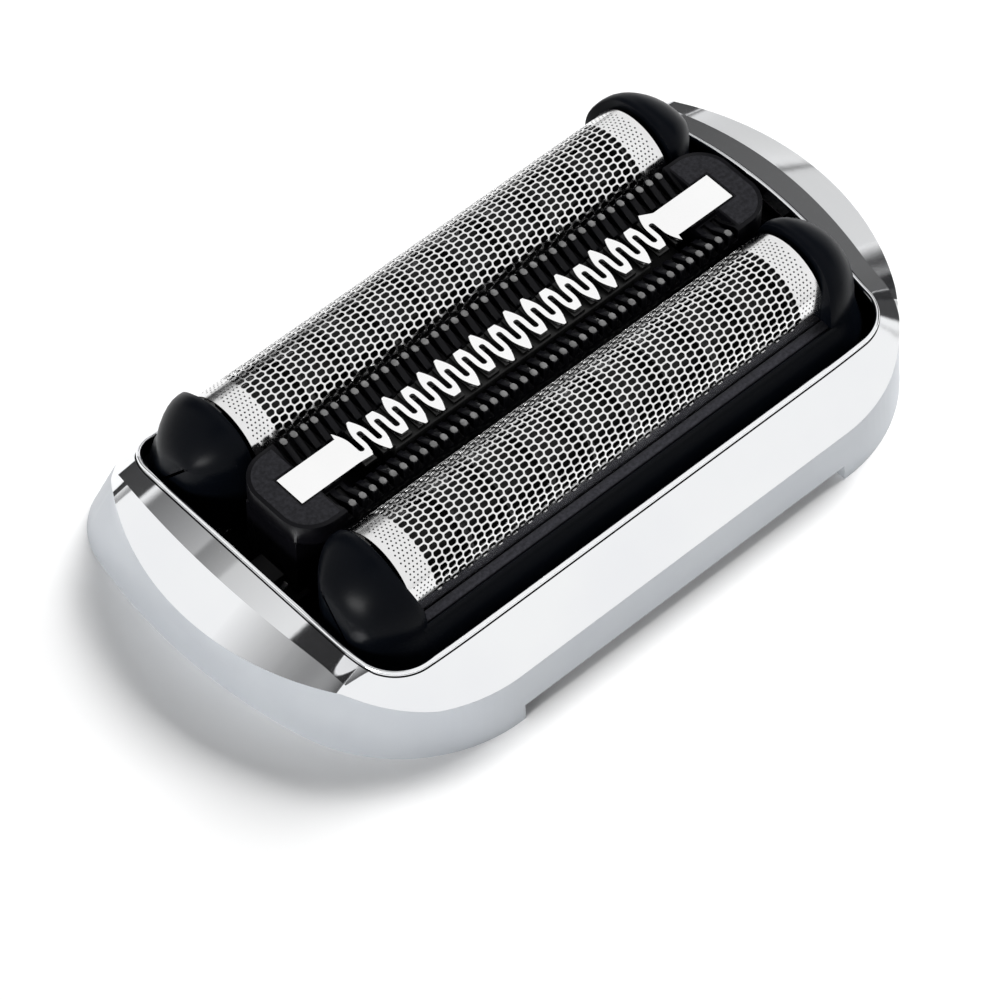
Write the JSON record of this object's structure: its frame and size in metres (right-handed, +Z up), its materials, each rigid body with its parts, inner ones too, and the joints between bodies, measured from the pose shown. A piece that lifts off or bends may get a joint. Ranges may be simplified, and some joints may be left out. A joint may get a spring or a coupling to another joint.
{
  "type": "shaver foil head",
  "caption": "Foil shaver head cassette: silver ring with mirror bevel, sprung perforated foils over oscillating cutters, and a wave-toothed trimmer between them.",
  "frame": {"origin": "middle of the box's base, on the plane of the ring's lower rim", "axes": "+X along the foils, +Y to the narrow-bevel rear side, +Z up through the foils"},
  "size_m": [0.0598, 0.035, 0.0136],
  "materials": {
    "satin_silver": "satin silver lacquer",
    "mirror_chrome": "mirror plating",
    "black_inner": "moulded, fine satin",
    "black_frame": "moulded, soft sheen",
    "nickel_foil": "bright electroformed nickel",
    "grey_ledge": "fine grain",
    "cutter_plastic": "moulded",
    "blade_steel": "ground",
    "polished_steel": "polished",
    "spring_steel": "bright strip"
  },
  "bodies": {
    "frame": {"outer_frame": "satin_silver", "chrome_bezel": "mirror_chrome", "chassis": "black_inner", "front_foil_springs": "spring_steel", "rear_foil_springs": "spring_steel", "trimmer_springs": "spring_steel"},
    "front_foil_unit": {"front_foil_frame": "black_frame", "front_foil": "nickel_foil", "front_ledge_strip": "grey_ledge"},
    "rear_foil_unit": {"rear_foil_frame": "black_frame", "rear_foil": "nickel_foil", "rear_ledge_strip": "grey_ledge"},
    "trimmer_unit": {"trimmer_carrier": "black_frame", "trimmer_shear_blade": "polished_steel"},
    "front_cutter": {"front_cutter_carrier": "cutter_plastic", "front_cutter_lamellae": "blade_steel"},
    "rear_cutter": {"rear_cutter_carrier": "cutter_plastic", "rear_cutter_lamellae": "blade_steel"},
    "trimmer_cutter": {"trimmer_moving_blade": "blade_steel", "trimmer_slider": "cutter_plastic"}
  },
  "joints": [
    {"name": "front_foil_float", "type": "slide", "parent": "frame", "child": "front_foil_unit", "axis": [0, 0, 1], "range_m": [-0.0015, 0], "stiffness_N_per_m": 200, "springref_m": 0.002, "deforming": ["front_foil_springs"]},
    {"name": "rear_foil_float", "type": "slide", "parent": "frame", "child": "rear_foil_unit", "axis": [0, 0, 1], "range_m": [-0.0015, 0], "stiffness_N_per_m": 200, "springref_m": 0.002, "deforming": ["rear_foil_springs"]},
    {"name": "trimmer_float", "type": "slide", "parent": "frame", "child": "trimmer_unit", "axis": [0, 0, 1], "range_m": [-0.0015, 0], "stiffness_N_per_m": 160, "springref_m": 0.002, "deforming": ["trimmer_springs"]},
    {"name": "front_cutter_stroke", "type": "slide", "parent": "front_foil_unit", "child": "front_cutter", "axis": [1, 0, 0], "range_m": [-0.001, 0.001]},
    {"name": "rear_cutter_stroke", "type": "slide", "parent": "rear_foil_unit", "child": "rear_cutter", "axis": [1, 0, 0], "range_m": [-0.001, 0.001]},
    {"name": "trimmer_blade_stroke", "type": "slide", "parent": "trimmer_unit", "child": "trimmer_cutter", "axis": [1, 0, 0], "range_m": [-0.001, 0.001]}
  ]
}
